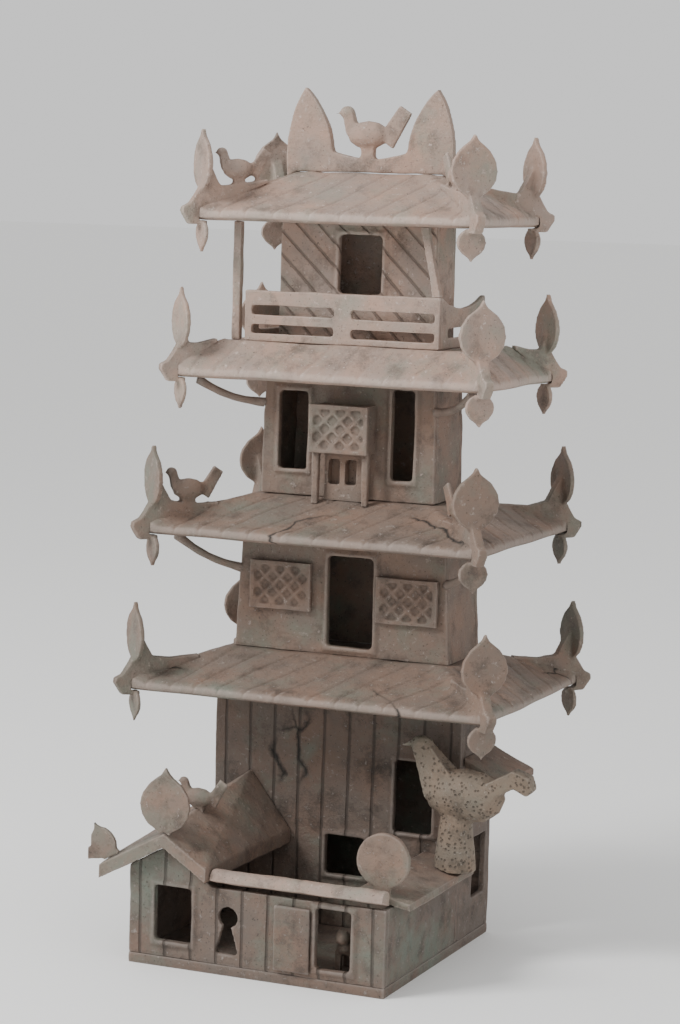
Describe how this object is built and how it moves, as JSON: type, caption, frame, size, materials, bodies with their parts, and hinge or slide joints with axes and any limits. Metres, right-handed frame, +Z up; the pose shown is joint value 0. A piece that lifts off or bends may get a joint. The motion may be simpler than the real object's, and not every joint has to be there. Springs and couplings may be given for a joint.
{
  "type": "pottery watchtower",
  "caption": "Tall clay tower with a walled courtyard, stacked storeys, hipped roofs with upturned leaf corners, a balcony and perched birds.",
  "frame": {"origin": "middle of the base slab's underside", "axes": "+Z up, +X to the right seen from the front, +Y towards the back"},
  "size_m": [0.5221, 0.4786, 1.034],
  "materials": {
    "dark_clay": "matt, worn",
    "warm_clay": "matt, worn",
    "pale_clay": "matt, worn",
    "glazed_clay": "remains of green glaze"
  },
  "bodies": {
    "courtyard": {"base_slab": "dark_clay", "courtyard_front_wall": "dark_clay", "courtyard_left_wall": "dark_clay", "courtyard_right_wall": "dark_clay", "front_coping": "pale_clay", "gate_roof": "warm_clay", "right_coping": "warm_clay", "ground_front_wall": "dark_clay", "ground_back_wall": "dark_clay", "ground_left_wall": "dark_clay", "ground_right_wall": "dark_clay", "side_canopy": "warm_clay", "door_leaf": "dark_clay", "gate_leaf": "warm_clay", "gate_corner_leaf": "warm_clay", "gate_bird": "warm_clay", "big_bird": "glazed_clay", "courtyard_dog": "warm_clay"},
    "second_storey": {"roof_1": "warm_clay", "roof_1_front_left_leaf": "warm_clay", "roof_1_front_right_leaf": "warm_clay", "roof_1_back_right_leaf": "warm_clay", "roof_1_back_left_leaf": "warm_clay", "second_front_wall": "warm_clay", "second_back_wall": "warm_clay", "second_left_wall": "warm_clay", "second_right_wall": "warm_clay", "second_left_lattice": "warm_clay", "second_right_lattice": "warm_clay"},
    "third_storey": {"roof_2": "warm_clay", "roof_2_front_left_leaf": "warm_clay", "roof_2_front_right_leaf": "warm_clay", "roof_2_back_right_leaf": "warm_clay", "roof_2_back_left_leaf": "warm_clay", "third_front_wall": "warm_clay", "third_back_wall": "warm_clay", "third_left_wall": "warm_clay", "third_right_wall": "warm_clay", "bay": "warm_clay", "bay_lattice": "warm_clay"},
    "fourth_storey": {"roof_3": "pale_clay", "roof_3_front_left_leaf": "pale_clay", "roof_3_front_right_leaf": "pale_clay", "roof_3_back_right_leaf": "pale_clay", "roof_3_back_left_leaf": "pale_clay", "fourth_front_wall": "pale_clay", "fourth_back_wall": "pale_clay", "fourth_left_wall": "pale_clay", "fourth_right_wall": "pale_clay", "railing_front": "pale_clay", "railing_left": "pale_clay", "railing_right": "pale_clay", "left_post": "pale_clay", "right_post": "pale_clay"},
    "top_roof": {"roof_4": "pale_clay", "roof_4_front_left_leaf": "pale_clay", "roof_4_front_right_leaf": "pale_clay", "roof_4_back_right_leaf": "pale_clay", "roof_4_back_left_leaf": "pale_clay", "main_ridge": "pale_clay"}
  },
  "joints": [
    {"name": "second_storey_lift", "type": "slide", "parent": "courtyard", "child": "second_storey", "axis": [0, 0, 1], "range_m": [0, 0.06]},
    {"name": "third_storey_lift", "type": "slide", "parent": "second_storey", "child": "third_storey", "axis": [0, 0, 1], "range_m": [0, 0.06]},
    {"name": "fourth_storey_lift", "type": "slide", "parent": "third_storey", "child": "fourth_storey", "axis": [0, 0, 1], "range_m": [0, 0.06]},
    {"name": "top_roof_lift", "type": "slide", "parent": "fourth_storey", "child": "top_roof", "axis": [0, 0, 1], "range_m": [0, 0.06]}
  ]
}
